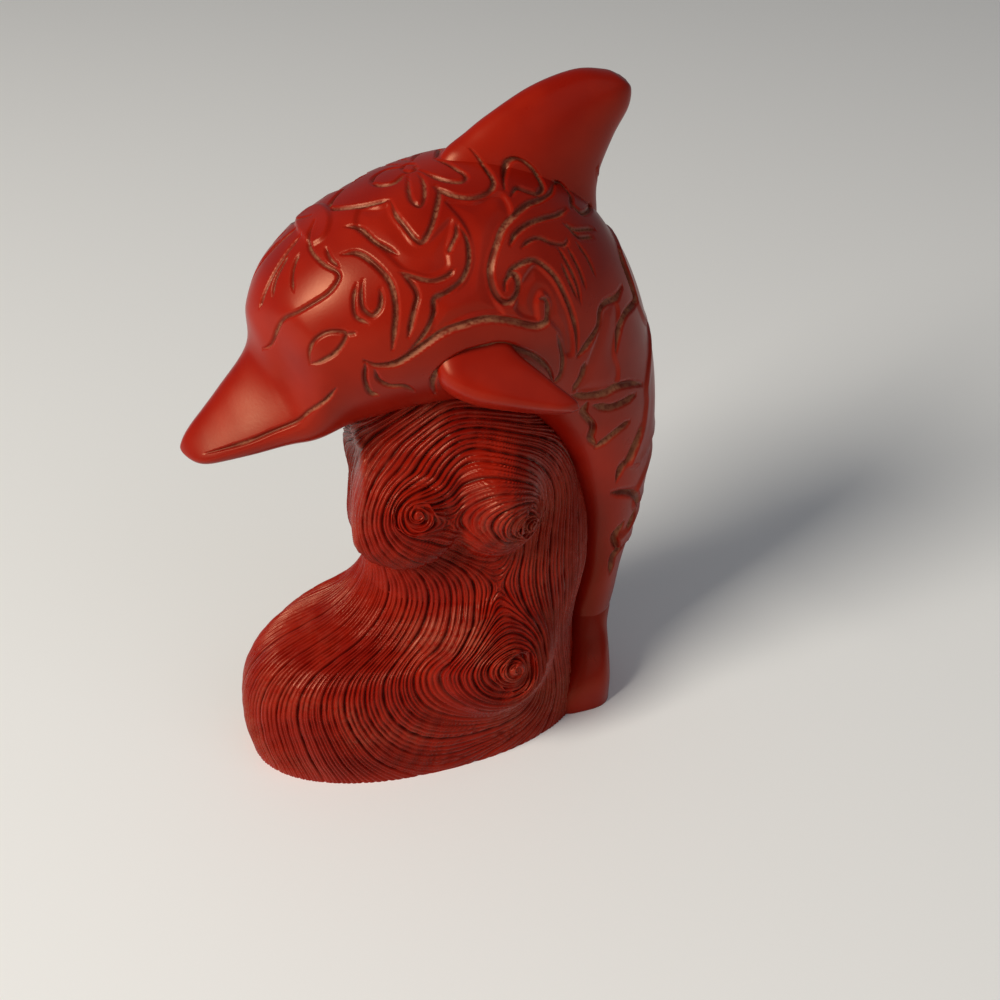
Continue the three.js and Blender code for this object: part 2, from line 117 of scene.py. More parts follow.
# Each cut: half its width, then points as (station, degrees from the ridge of the back).
carved_lines = [
    # Brow line, from the root of the beak over the eye and back to the crown
    (0.42, [(3.6, 32), (4, 38), (4.6, 38), (5, 43), (5.5, 46), (5.75, 44), (5.82, 40), (5.7, 31),
            (5.65, 19), (5.75, 10), (5.9, 3)]),
    # Rays on the forehead
    (0.38, [(5.65, 5), (5.4, 7), (4.9, 12), (4.5, 16), (4.3, 18)]),
    (0.38, [(5.35, 10), (5.15, 13), (4.9, 17), (4.7, 23)]),
    (0.38, [(5.5, 16), (5.35, 19), (5.2, 25), (5.1, 32)]),
    # Eye and its corner
    (0.42, [(4.58, 68.5), (4.71, 64), (4.94, 61.3), (5.19, 61.7), (5.38, 64.6), (5.5, 68.5), (5.36, 72),
            (5.1, 74), (4.8, 72.6), (4.58, 68.5)]),
    (0.35, [(5.5, 69), (5.66, 71)]),
    # Mouth
    (0.42, [(1.1, 72), (2, 79), (2.75, 80), (3.7, 83), (4.4, 91), (4.76, 92)]),
    # Flower: five inner petals round a boss, three of them on this half
    (0.42, [(7.06, 4), (6.9, 8), (6.76, 6), (6.68, 0)]),
    (0.42, [(7.08, 6), (6.99, 17), (6.97, 24), (7.03, 28), (7.11, 25), (7.18, 17), (7.2, 8)]),
    (0.42, [(7.22, 6), (7.34, 15), (7.46, 20), (7.6, 22), (7.66, 19), (7.6, 13), (7.52, 5), (7.45, 0)]),
    (0.34, [(7.06, 0), (7.1, 4), (7.18, 4), (7.22, 0)]),
    # Flower: outer petals
    (0.47, [(6.14, 0), (6.2, 5), (6.4, 12), (6.6, 16), (6.76, 18)]),
    (0.51, [(6.76, 18), (6.74, 27), (6.78, 35), (6.83, 42), (6.9, 45), (7.04, 41), (7.17, 34), (7.28, 26),
            (7.3, 20)]),
    (0.51, [(7.27, 20), (7.33, 24), (7.46, 29), (7.66, 32), (7.86, 30), (7.96, 25), (7.94, 16),
            (7.88, 0)]),
    # Leaves between the crown and the flipper
    (0.51, [(6.18, 20), (6.32, 25), (6.39, 34), (6.48, 40), (6.58, 46)]),
    (0.55, [(5.98, 33), (6.14, 36), (6.25, 42), (6.36, 53), (6.38, 61), (6.32, 70), (6.2, 79),
            (6.08, 87)]),
    (0.51, [(6.54, 54), (6.62, 61), (6.64, 67), (6.56, 72), (6.46, 78), (6.36, 84)]),
    (0.47, [(6.54, 54), (6.68, 59), (6.88, 63), (7.08, 63), (7.18, 61)]),
    (0.42, [(7.36, 42), (7.32, 47), (7.22, 51), (7.16, 54)]),
    (0.51, [(7.36, 42), (7.43, 50), (7.4, 59), (7.3, 65), (7.18, 68), (7, 70), (6.84, 71), (6.78, 77),
            (6.66, 83), (6.48, 88), (6.28, 92)]),
    (0.47, [(6.08, 50), (5.97, 56), (5.92, 62), (5.99, 67), (6.12, 66), (6.2, 62), (6.24, 57)]),
    (0.42, [(5.98, 50), (5.83, 57), (5.77, 64), (5.9, 70)]),
    (0.38, [(5.84, 24), (5.82, 31), (5.87, 38)]),
    # Large scroll under the fin and the leaf that springs from it
    (0.59, [(8.82, 18), (8.72, 26), (8.54, 32), (8.34, 36), (8.12, 42), (7.92, 48), (7.79, 55),
            (7.69, 61), (7.64, 67), (7.66, 74), (7.75, 79), (7.89, 80), (8.01, 76), (8.03, 71),
            (7.95, 68), (7.84, 71), (7.82, 75)]),
    (0.51, [(7.84, 71), (7.92, 67), (8.08, 64), (8.28, 62), (8.46, 64), (8.63, 68), (8.78, 74),
            (8.92, 80), (9.05, 87), (9.14, 96)]),
    (0.51, [(7.96, 56), (8.07, 51), (8.28, 46), (8.52, 42), (8.74, 38), (8.92, 32)]),
    (0.42, [(8.12, 57), (8.24, 54), (8.4, 52), (8.6, 53), (8.78, 52), (8.86, 48)]),
    # Fan of cuts behind the scroll
    (0.34, [(8.66, 54), (8.82, 60), (8.98, 67), (9.06, 74)]),
    (0.34, [(8.84, 53), (9.02, 60), (9.14, 66)]),
    (0.34, [(9, 48), (9.18, 52), (9.32, 57)]),
    (0.34, [(8.72, 61), (8.84, 67), (9, 73)]),
    # Hooks at the root of the fin
    (0.55, [(8.06, 30), (8.13, 20), (8.25, 11), (8.42, 8), (8.57, 13), (8.62, 23), (8.52, 29), (8.38, 29),
            (8.24, 28), (8.12, 33)]),
    (0.47, [(8.82, 18), (8.95, 15), (9.06, 20), (9, 30)]),
    (0.51, [(9, 27), (9.2, 28), (9.4, 18), (9.5, 8)]),
    (0.42, [(8.82, 42), (9.04, 41), (9.4, 32)]),
    (0.42, [(8.9, 43), (9.08, 44), (9.34, 38)]),
    # Scroll over the flipper, its loop and the ring round the flipper's root
    (0.64, [(5.56, 86), (5.74, 92), (6.05, 95), (6.34, 93), (6.6, 90), (6.88, 87), (7.18, 86), (7.5, 86),
            (7.82, 88), (8.16, 90), (8.36, 90), (8.49, 87), (8.5, 82), (8.46, 78), (8.37, 78)]),
    (0.47, [(5.56, 88), (5.4, 97), (5.36, 107), (5.5, 112)]),
    (0.42, [(5.66, 94), (5.65, 101), (5.8, 108), (6.06, 112), (6.22, 119)]),
    (0.59, [(6.6, 127), (6.56, 117), (6.62, 110), (6.8, 105), (7.1, 101), (7.44, 100), (7.76, 100),
            (8.1, 103), (8.4, 106), (8.68, 111), (8.86, 118)]),
    (0.47, [(8.86, 117), (8.93, 110), (8.87, 101), (8.7, 92)]),
    # Long leaves down the loin
    (0.68, [(9.94, 22), (10, 30), (10.16, 34), (10.32, 39), (10.05, 57), (9.96, 67), (9.98, 77)]),
    (0.68, [(9.94, 46), (9.8, 56), (9.58, 64), (9.48, 70), (9.48, 77), (9.32, 88), (9.16, 97)]),
    (0.68, [(9.3, 114), (9.37, 104), (9.36, 97)]),
    (0.74, [(9.32, 117), (9.62, 110), (10.02, 98), (10.28, 87), (10.94, 62)]),
    (0.74, [(9.86, 110), (10.22, 101), (10.54, 88), (10.82, 73)]),
    (0.68, [(9.7, 112), (9.72, 119), (10.08, 118), (10.2, 124), (10.46, 122)]),
    # Scales down the tail stock
    (0.68, [(10.44, 123), (10.7, 101), (10.94, 85)]),
    (0.74, [(11.38, 70), (11.42, 82), (11.46, 92), (11.4, 100), (11.5, 107)]),
    (0.74, [(11.64, 114), (12.3, 80), (12.86, 55)]),
    (0.68, [(12.92, 54), (13.02, 72)]),
    (0.68, [(12.74, 87), (12.84, 101), (13.28, 86)]),
    (0.68, [(13.52, 46), (13.36, 88), (13.86, 80)]),
]
# Grounds cut lower between leaves, and plates left standing, as minus depths: depth, then the outline
carved_grounds = [
    (0.5, [(7.3, 30), (7.4, 42), (7.43, 50), (7.4, 59), (7.3, 65), (7.18, 68), (6.84, 71), (6.66, 83),
           (6.4, 91), (6.6, 89), (7.18, 85), (7.5, 85), (7.8, 86), (7.72, 79), (7.66, 74), (7.64, 67),
           (7.69, 61), (7.79, 55), (7.92, 48), (8.1, 42), (8.06, 32), (7.9, 30), (7.66, 33), (7.46, 30)]),
    (0.45, [(8.03, 72), (8.28, 63), (8.5, 66), (8.65, 70), (8.8, 76), (8.94, 82), (9.1, 96), (8.9, 101),
            (8.7, 92), (8.5, 87), (8.5, 80), (8.4, 76), (8.34, 80), (8.36, 88), (8.1, 88), (7.94, 84),
            (7.95, 80)]),
    (0.4, [(6.25, 24), (6.4, 13), (6.62, 18), (6.74, 19), (6.73, 27), (6.77, 35), (6.84, 44), (7.04, 43),
           (7.3, 38), (7.34, 42), (7.2, 52), (7.14, 60), (6.88, 62), (6.68, 58), (6.54, 53), (6.44, 44),
           (6.34, 34)]),
    (0.35, [(9.36, 97), (9.48, 77), (9.5, 70), (9.6, 64), (9.8, 57), (9.94, 60), (9.98, 77), (10.2, 80),
            (10.25, 87), (10, 98), (9.6, 109), (9.34, 115)]),
    (-0.4, [(5.62, -20), (5.64, 14), (5.78, 20), (5.98, 18), (6.12, 8), (6.12, -8), (6, -20)]),
    (-0.4, [(9.94, -40), (9.92, 20), (10, 30), (10.16, 35), (10.34, 40), (10.7, 34), (10.9, 15),
            (10.9, -40)]),
    (-0.5, [(11, -50), (10.95, 50), (11.2, 64), (11.4, 74), (11.5, 92), (11.75, 84), (12, 60),
            (12.1, -50)]),
    (-0.5, [(12.3, -60), (12.25, 60), (12.4, 78), (12.86, 56), (12.95, -60)]),
    (-0.5, [(13, -60), (13, 68), (12.84, 96), (13.25, 88), (13.5, 50), (13.6, -60)]),
]
cut_slope = 1.2  # depth of a cut over half its width
cut_rounding = 0.22  # how round the bottom of a cut is, as a share of half its width
cut_taper = 0.15  # share of a cut's length over which each end runs out
cut_tip = 0.4  # width of a cut at its very ends, as a share of its width
full_cut = 0.46  # depth of a cut whose bottom is painted dark in full, as shade
ground_edge, ground_middle = 0.8, 2.5  # from the outline, where a ground is lowest and where highest again
ground_climb = 0.5  # share of its depth that a ground gains towards its middle
steps_per_point = 10


def nearest_on_line(points, line):
    """Distance from each point to a polyline, and where along it the nearest place lies, from 0 to 1:
    each point is dropped on every segment and the closest foot is kept."""
    start, run = line[:-1], np.diff(line, axis=0)
    offset = points[:, None] - start
    share = np.clip((offset * run).sum(-1) / np.maximum((run * run).sum(-1), 1e-9), 0, 1)
    away = np.linalg.norm(offset - share[..., None] * run, axis=-1)
    nearest = away.argmin(1)
    rows = np.arange(len(points))
    return away[rows, nearest], (nearest + share[rows, nearest]) / len(run)


def cut_depth(surface):
    """How deep the V tool went at each point of the surface: a V across every carved line, rounded at
    the bottom and running out at both ends; where lines cross, the deeper one counts."""
    points = surface.reshape(-1, 3)
    depth = np.zeros(len(points))
    for half_width, places in carved_lines:
        places = np.array(places, float)
        step = np.linspace(0, len(places) - 1, steps_per_point * (len(places) - 1) + 1)
        station, degrees = np.moveaxis(along_table(places, step), -1, 0)
        line = body_point(station, np.radians(degrees))
        near = np.all((points > line.min(0) - half_width) & (points < line.max(0) + half_width), axis=1)
        away, share = nearest_on_line(points[near], line)
        fade = cut_tip + (1 - cut_tip) * np.clip(np.minimum(share, 1 - share) / cut_taper, 0, 1)
        across = np.hypot(away / (half_width * fade), cut_rounding)
        cut = np.clip(1 - across, 0, 1) * half_width * fade * cut_slope
        depth[near] = np.maximum(depth[near], cut)
    return depth.reshape(surface.shape[:2])


def inside_outline(first, second, outline):
    """Whether each place lies inside a closed outline: a ray from it crosses the outline an odd number of
    times."""
    odd = np.zeros(first.shape, bool)
    for (a0, b0), (a1, b1) in zip(outline, np.roll(outline, -1, axis=0)):
        if b0 != b1:
            crossing = a0 + (second - b0) * (a1 - a0) / (b1 - b0)
            odd ^= ((b0 > second) != (b1 > second)) & (first < crossing)
    return odd


def ground_depth(surface, station, angle):
    """How far the ground between the leaves lies under the surface: it drops at the outline and climbs
    again towards its middle, as a knife leaves it."""
    depth = np.zeros(station.shape)
    for level, places in carved_grounds:
        outline = np.array(places, float)
        around = np.vstack([outline[-1:], outline, outline[:2]])
        step = np.linspace(1, len(outline) + 1, steps_per_point * len(outline) + 1)
        fine = along_table(around, step)
        inside = inside_outline(station, np.degrees(angle), fine[:-1])
        line = body_point(fine[:, 0], np.radians(fine[:, 1]))
        away, _ = nearest_on_line(surface[inside], line)
        climb = ground_climb * smooth(away / ground_middle)
        depth[inside] += level * smooth(away / ground_edge) * (1 - climb)
    return depth


def surface_normals(surface):
    """Unit normals of a grid of points: the cross product of its two central differences."""
    across = np.cross(np.gradient(surface, axis=1), np.gradient(surface, axis=0))
    return across / np.maximum(np.linalg.norm(across, axis=-1, keepdims=True), 1e-12)


def put_skin(name, surface, normals, material, tones=None):
    """Mesh of a grid of points in millimetres. Quads join neighbours, and the last column to the first;
    tones gives named numbers between 0 and 1 at each point to the material."""
    rows, columns = surface.shape[:2]
    number = np.arange(rows * columns).reshape(rows, columns)
    number = np.concatenate([number, number[:, :1]], axis=1)
    corners = np.stack([number[:-1, :-1], number[:-1, 1:], number[1:, 1:], number[1:, :-1]], -1)
    corners = corners.reshape(-1, 4)
    mesh = bpy.data.meshes.new(name)
    mesh.vertices.add(rows * columns)
    mesh.vertices.foreach_set("co", (surface * mm).astype(np.float32).ravel())
    mesh.loops.add(corners.size)
    mesh.loops.foreach_set("vertex_index", corners.astype(np.int32).ravel())
    mesh.polygons.add(len(corners))
    mesh.polygons.foreach_set("loop_start", np.arange(0, corners.size, 4, dtype=np.int32))
    mesh.update(calc_edges=True)
    mesh.validate()
    mesh.polygons.foreach_set("use_smooth", np.ones(len(mesh.polygons), dtype=bool))
    if normals is not None:
        mesh.normals_split_custom_set_from_vertices(normals.reshape(-1, 3).tolist())
    for tone_name, tone in (tones or {}).items():
        layer = mesh.attributes.new(tone_name, "FLOAT", "POINT")
        layer.data.foreach_set("value", tone.astype(np.float32).ravel())
    mesh.materials.append(material)
    piece = bpy.data.objects.new(name, mesh)
    bpy.context.scene.collection.objects.link(piece)
    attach(piece, "root")
    return piece


class Shade:
    """A socket of a material's node tree. Operators on it add Math nodes, and add() adds any other."""

    def __init__(self, tree, socket=None):
        self.tree = tree
        self.socket = socket

    def add(self, kind, settings=None, sockets=None, output=0):
        """A new node: its settings are set first, then each named or numbered socket gets a value or a
        link."""
        node = self.tree.nodes.new(kind)
        for key, value in (settings or {}).items():
            setattr(node, key, value)
        for key, value in (sockets or {}).items():
            if isinstance(value, Shade):
                self.tree.links.new(value.socket, node.inputs[key])
            else:
                node.inputs[key].default_value = value
        return Shade(self.tree, node.outputs[output])

    def math(self, operation, first, second):
        """A Math node on two values."""
        return self.add("ShaderNodeMath", {"operation": operation}, {0: first, 1: second})

    def __add__(self, other):
        return self.math("ADD", self, other)

    def __sub__(self, other):
        return self.math("SUBTRACT", self, other)

    def __rsub__(self, other):
        return self.math("SUBTRACT", other, self)

    def __mul__(self, other):
        return self.math("MULTIPLY", self, other)

    __radd__ = __add__
    __rmul__ = __mul__

    def between(self, low, high):
        """Smooth step from 0 at the low value to 1 at the high one."""
        return self.add("ShaderNodeMapRange", {"interpolation_type": "SMOOTHSTEP"},
                        {"Value": self, "From Min": low, "From Max": high})

    def blend(self, first, second):
        """Colour between two colours, by this value."""
        return self.add("ShaderNodeMix", {"data_type": "RGBA"}, {0: self, 6: first, 7: second}, output=2)


def new_material(name, constants):
    """A material with one Principled BSDF, whose unvarying sockets are set here."""
    material = bpy.data.materials.new(name)
    material.use_nodes = True
    shader = material.node_tree.nodes["Principled BSDF"]
    for socket, value in constants.items():
        shader.inputs[socket].default_value = value
    return material, shader, Shade(material.node_tree)


def noise(tree, place, scale, detail=3.0):
    """Fractal noise between 0 and 1 with this many blotches to the metre."""
    return tree.add("ShaderNodeTexNoise", None, {"Vector": place, "Scale": scale, "Detail": detail})


def link(shader, socket, value):
    """Feeds a value that changes over the surface to a socket of the shader."""
    value.tree.links.new(value.socket, shader.inputs[socket])


gloss_tint = (1, 0.58, 0.34, 1)
carved_reds = (0.2, 0.0035, 0.0008, 1), (0.26, 0.007, 0.0015, 1)
# painted shade at the bottom of the cuts
cut_painted_shade = (0.08, 0.01, 0.005, 1)
# tan of dust, and of painted light on the walls of the cuts that face the lamp
dust_and_lit_tan = (0.3, 0.105, 0.05, 1)


def carved_resin():
    """Satin red resin: clouded a little, painted maroon shade at the bottom of the cuts, tan on the walls
    that face up and towards the lamp, partly dust and partly painted light, tan dust in patches deep in
    the cuts, fine hairline scratches in the gloss."""
    material, shader, tree = new_material("carved_resin", {
        "IOR": 1.45, "Specular IOR Level": 0.36, "Specular Tint": gloss_tint})
    place = tree.add("ShaderNodeTexCoord", output=3)
    cut = tree.add("ShaderNodeAttribute", {"attribute_name": "cut"}, output=2)
    dust_and_lit_wall = tree.add("ShaderNodeAttribute", {"attribute_name": "dust_and_lit_wall"}, output=2)
    cloud = noise(tree, place, 90)
    red = cloud.between(0.3, 0.7).blend(*carved_reds)
    deep = cut.between(0.15, 0.8)
    # painted shade: the deeper the cut, the darker maroon its bottom
    shaded_cuts = (deep * 0.8).blend(red, cut_painted_shade)
    patches = noise(tree, place, 300, 4).between(0.42, 0.62) * noise(tree, place, 2200).between(0.3, 0.6)
    grains = noise(tree, place, 1500, 4).between(0.3, 0.6)
    # tan: on the walls that face up and towards the lamp, partly dust and partly painted light, and dust in
    # patches deep in the cuts
    dust_and_lit_walls = dust_and_lit_wall.between(0.1, 0.6) * grains * 0.5 + deep * patches * 0.55
    link(shader, "Base Color", dust_and_lit_walls.blend(shaded_cuts, dust_and_lit_tan))
    link(shader, "Roughness", noise(tree, place, 260).between(0.2, 0.8) * 0.08 + dust_and_lit_walls * 0.4 + 0.27)
    scratches = noise(tree, place, 2600, 2)
    bump = tree.add("ShaderNodeBump", None, {"Strength": 0.06, "Distance": 0.0001, "Height": scratches})
    link(shader, "Normal", bump)
    return material


resin = carved_resin()
head_end, trunk_end, tail_overrun = 4, 11, 15.3  # stations where the grid changes its spacing
nose_rows, head_rows, trunk_rows, tail_rows = 24, 70, 318, 96
carved_columns, belly_columns = 164, 24
carved_degrees = 132
to_right, to_middle = np.array([1, -1, 1]), np.array([1, 0, 1])

station = np.concatenate([
    nose_station * np.linspace(0, 1, nose_rows, endpoint=False) ** 2,
    np.linspace(nose_station, head_end, head_rows, endpoint=False),
    np.linspace(head_end, trunk_end, trunk_rows, endpoint=False),
    np.linspace(trunk_end, tail_overrun, tail_rows),
])
degrees = np.concatenate([
    np.linspace(0, carved_degrees, carved_columns, endpoint=False),
    np.linspace(carved_degrees, 180, belly_columns),
])
station, angle = np.meshgrid(station, np.radians(degrees), indexing="ij")
plain = body_point(station, angle)
depth = cut_depth(plain)
ground_low = ground_depth(plain, station, angle)
outward = surface_normals(plain)
left_skin = plain - outward * (depth + ground_low)[..., None]

tail_middle = left_skin[-1:].mean(axis=1, keepdims=True) * to_middle
left_skin = np.concatenate([left_skin, np.broadcast_to(tail_middle, left_skin[-1:].shape)])
cut_share = np.concatenate([depth, depth[-1:]]) / full_cut

left_normals = surface_normals(left_skin)
dust_and_light_side = np.array([-0.35, -0.2, 0.9])  # the walls of the cuts that turn this way, up and towards the lamp, hold dust and are painted lighter as lit
dust_light_gain, dust_light_start = 1.3, 0.1
dust_light_depth = 0.25  # share of the full depth from which the tan of dust and painted light lies in a cut
# walls turned up and towards the lamp get tan, partly dust and partly painted light
turned_to_lamp_and_up = (left_normals - np.concatenate([outward, outward[-1:]])) @ dust_and_light_side
dust_and_lit_wall = np.clip(turned_to_lamp_and_up * dust_light_gain - dust_light_start, 0, 1) * np.clip(cut_share / dust_light_depth, 0, 1)
left_normals[:, [0, -1], 1] = 0
left_normals /= np.linalg.norm(left_normals, axis=-1, keepdims=True)
for name, skin, normals, tones in [
    ("dolphin_left_half", left_skin, left_normals, {"cut": cut_share, "dust_and_lit_wall": dust_and_lit_wall}),
    ("dolphin_right_half", (left_skin * to_right)[:, ::-1], (left_normals * to_right)[:, ::-1],
     {"cut": cut_share[:, ::-1], "dust_and_lit_wall": dust_and_lit_wall[:, ::-1]}),
]:
    half = put_skin(name, skin, normals, resin, tones)
    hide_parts("dolphin_body")

# Dorsal fin: cast by itself in the same resin, with a tenon glued into the back. It leans to the rear,
# smooth, thick at the root and rounded along its edges. The carving of the back runs out over its root.
fin_station = 8.58
fin_lean = np.radians(22.5)
fin_chord = 23.5
fin_height = 14.8
fin_thickness = 9.2
fin_stations = np.array([  # leading edge x and z, trailing edge x and z, thickness
    [-0.53, -0.4, 0.62, -0.46, 1.02],
    [-0.51, -0.22, 0.57, -0.27, 1],
    [-0.49, -0.12, 0.535, -0.16, 0.97],
    [-0.46, -0.04, 0.515, -0.09, 0.93],
    [-0.42, 0.05, 0.5, -0.02, 0.89],
    [-0.323, 0.277, 0.477, 0.149, 0.82],
    [-0.132, 0.642, 0.478, 0.473, 0.71],
    [0.085, 0.905, 0.498, 0.743, 0.58],
    [0.27, 0.995, 0.47, 0.91, 0.4],
    [0.37, 0.995, 0.42, 0.972, 0.12],
])
carving_slant = np.array([0.29, 0.79, -0.54])  # way from the fin's root in to the cuts that it carries on
carved_stations = 2.2  # how far before and behind the fin's middle those cuts lie
ridge_columns, grid_step = 90, 3  # part of the body's grid that is searched for them
drop_rounds, drop_chunk, flattest_drop = 2, 400, -0.25
fade_height, fade_start, fade_slope = 1.2, 2, 0.4  # where they run out, up the fin and round its edges
blade_rows, blade_columns = 160, 200


def turned(points, angle, axes):
    """Points turned by an angle in the plane of two axes, from the first axis towards the second."""
    first, second = axes
    out = points.copy()
    out[..., first] = points[..., first] * np.cos(angle) - points[..., second] * np.sin(angle)
    out[..., second] = points[..., first] * np.sin(angle) + points[..., second] * np.cos(angle)
    return out


def blade_grid(table):
    """Station and angle at each place of a blade's grid."""
    station = np.linspace(0, len(table) - 1, blade_rows)
    angle = np.linspace(0, 2 * np.pi, blade_columns, endpoint=False)
    return np.meshgrid(station, angle, indexing="ij")


def capped(surface):
    """The same grid with its first and last rows drawn together to points."""
    first = np.broadcast_to(surface[:1].mean(axis=1, keepdims=True), surface[:1].shape)
    last = np.broadcast_to(surface[-1:].mean(axis=1, keepdims=True), surface[-1:].shape)
    return np.concatenate([first, surface, last])


def with_ends(field):
    """The same grid with its first and last rows given twice."""
    return np.concatenate([field[:1], field, field[-1:]])


def closed_normals(surface):
    """Unit normals of a grid whose last column joins its first."""
    return surface_normals(np.concatenate([surface[:, -1:], surface, surface[:, :1]], axis=1))[:, 1:-1]


def fin_surface():
    """Oval sections between the leading and the trailing edge, turned to the slope of the back."""
    station, angle = blade_grid(fin_stations)
    lead_x, lead_z, trail_x, trail_z, thick = np.moveaxis(along_table(fin_stations, station), -1, 0)
    across = np.cos(angle) / 2
    blade = np.stack([
        ((lead_x + trail_x) / 2 + (trail_x - lead_x) * across) * fin_chord,
        thick * fin_thickness * np.sin(angle) / 2,
        ((lead_z + trail_z) / 2 + (trail_z - lead_z) * across) * fin_height,
    ], -1)
    return turned(blade, -fin_lean, (0, 2)) + body_point(np.array(fin_station), np.array(0.0))


def carved_like_body(surface, outside):
    """Depth of the body's cuts carried on over a piece that grows out of it: each point is dropped aslant on
    the plane that touches the body nearest to it and takes the depth there, less with its distance."""
    near = np.abs(station[:, 0] - fin_station) < carved_stations
    body, facing, ground = (field[near][::grid_step, :ridge_columns:grid_step]
                            for field in (plain, outward, ground_low))
    body, facing, ground = body.reshape(-1, 3), facing.reshape(-1, 3), ground.ravel()
    points = surface.reshape(-1, 3).copy()
    points[:, 1] = -np.abs(points[:, 1])
    dropped = points
    for _ in range(drop_rounds):
        chunks = np.array_split(dropped, len(points) // drop_chunk)
        nearest = np.concatenate([((chunk[:, None] - body) ** 2).sum(-1).argmin(1) for chunk in chunks])
        height = ((points - body[nearest]) * facing[nearest]).sum(-1)
        run = height / np.minimum(facing[nearest] @ carving_slant, flattest_drop)
        dropped = points - run[:, None] * carving_slant
    slope = outside[..., [0, 2]] @ carving_slant[[0, 2]] - np.abs(outside[..., 1]) * carving_slant[1]
    fade = 1 - smooth(height / fade_height - fade_start).reshape(surface.shape[:2])
    fade = fade * smooth(-slope / fade_slope)
    return cut_depth(dropped.reshape(surface.shape)) * fade, ground[nearest].reshape(fade.shape) * fade


plain_fin = fin_surface()
fin_outward = closed_normals(plain_fin)
fin_depth, fin_ground = carved_like_body(plain_fin, fin_outward)
fin_skin = capped(plain_fin - fin_outward * (fin_depth + fin_ground)[..., None])
fin = put_skin("dorsal_fin_skin", fin_skin, None, resin, {"cut": with_ends(fin_depth) / full_cut})
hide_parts("dorsal_fin")

# Flippers: two short blades of the same resin, each on a peg in the flank, hanging out and to the rear.
# The leading edge is a broad rounded band, and a ridge divides it from the thinner upper face.
flipper_station = 7.425
flipper_angle = np.radians(112)
flipper_pitch = np.radians(18)
flipper_droop = np.radians(45)
flipper_span = 10.4
flipper_chord = 10.9
flipper_thickness = 6.2
flipper_faces = (72, 178, 285)  # degrees that the upper, front and lower face of the blade look to
face_sharpness, face_rounding = 7, 0.25
section_width, section_height = 2.15, 2.1  # of the three-sided section, before it is fitted to the blade
flipper_stations = np.array([  # out, leading edge, trailing edge, thickness, droop
    [-0.42, -0.56, 0.4, 1.04, 0],
    [0, -0.58, 0.42, 1, 0],
    [0.356, -0.34, 0.57, 0.84, -0.03],
    [0.673, 0.12, 0.75, 0.68, -0.125],
    [0.904, 0.55, 0.89, 0.48, -0.22],
    [1, 0.79, 0.9, 0.16, -0.26],
])


def flipper_surface():
    """Rounded three-sided sections along the span, pitched and drooped, then set on the flank."""
    station, angle = blade_grid(flipper_stations)
    out, lead, trail, thick, droop = np.moveaxis(along_table(flipper_stations, station), -1, 0)
    faces = [np.maximum(np.cos(angle - np.radians(face)), 0) ** face_sharpness for face in flipper_faces]
    swell = (sum(faces) + face_rounding) ** (-1 / face_sharpness)
    across = swell * np.cos(angle) / section_width
    blade = np.stack([
        ((lead + trail) / 2 + (trail - lead) * across) * flipper_chord,
        -out * flipper_span,
        droop * flipper_span + thick * flipper_thickness * swell * np.sin(angle) / section_height,
    ], -1)
    blade = turned(turned(blade, flipper_droop, (1, 2)), flipper_pitch, (0, 2))
    return blade + body_point(np.array(flipper_station), np.array(flipper_angle))


left_flipper = capped(flipper_surface())
for side, blade in [("left", left_flipper), ("right", (left_flipper * to_right)[:, ::-1])]:
    flipper = put_skin(f"{side}_flipper_skin", blade, None, resin)
    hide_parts(f"{side}_flipper")

# Tail flukes: a smooth casting of the same resin that stands on the table under the tail stock, glued on
# over a dowel. It spreads downward and forward into a square foot with round corners.
fluke_height = 14.4
fluke_span = 23.4
fluke_thickness = 9.2
fluke_forward = 1.6
foot_square, square_rise = 0.4, 1.2  # how square the foot is, and how far up that shows
tail_depth, tail_width = body_stations[-1, 3] * body_depth, body_stations[-1, 4] * body_width
fluke_levels = np.array([  # height, thickness, span and how far forward, all in millimetres
    [0, 1.38 * fluke_thickness, 0.91 * fluke_span, 2.5 * fluke_forward],
    [0.35 * fluke_height, 1.1 * fluke_thickness, 0.9 * fluke_span, 1.7 * fluke_forward],
    [0.62 * fluke_height, 0.95 * fluke_thickness, 0.74 * fluke_span, fluke_forward],
    [0.82 * fluke_height, 0.9 * fluke_thickness, 0.5 * fluke_span, 0.5 * fluke_forward],
    [fluke_height, tail_depth, tail_width, 0],
    [1.12 * fluke_height, 0.9 * tail_depth, 0.9 * tail_width, 0],
])


def signed_power(value, exponent):
    """Power of a value's size, with its sign kept."""
    return np.sign(value) * np.abs(value) ** exponent


def fluke_surface():
    """Level sections that narrow upward to the foot of the tail stock: square with round corners on the
    table and oval above."""
    level, angle = blade_grid(fluke_levels)
    up, thick, span, forward = np.moveaxis(along_table(fluke_levels, level), -1, 0)
    tail_x = body_stations[-1, 0] * leap_length
    square = 1 - foot_square * smooth(square_rise - up / fluke_height)
    return np.stack([
        tail_x - forward + thick / 2 * signed_power(np.cos(angle), square),
        span / 2 * signed_power(np.sin(angle), square),
        up,
    ], -1)


flukes = put_skin("tail_flukes_skin", capped(fluke_surface())[:, ::-1], None, resin)
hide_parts("tail_flukes")

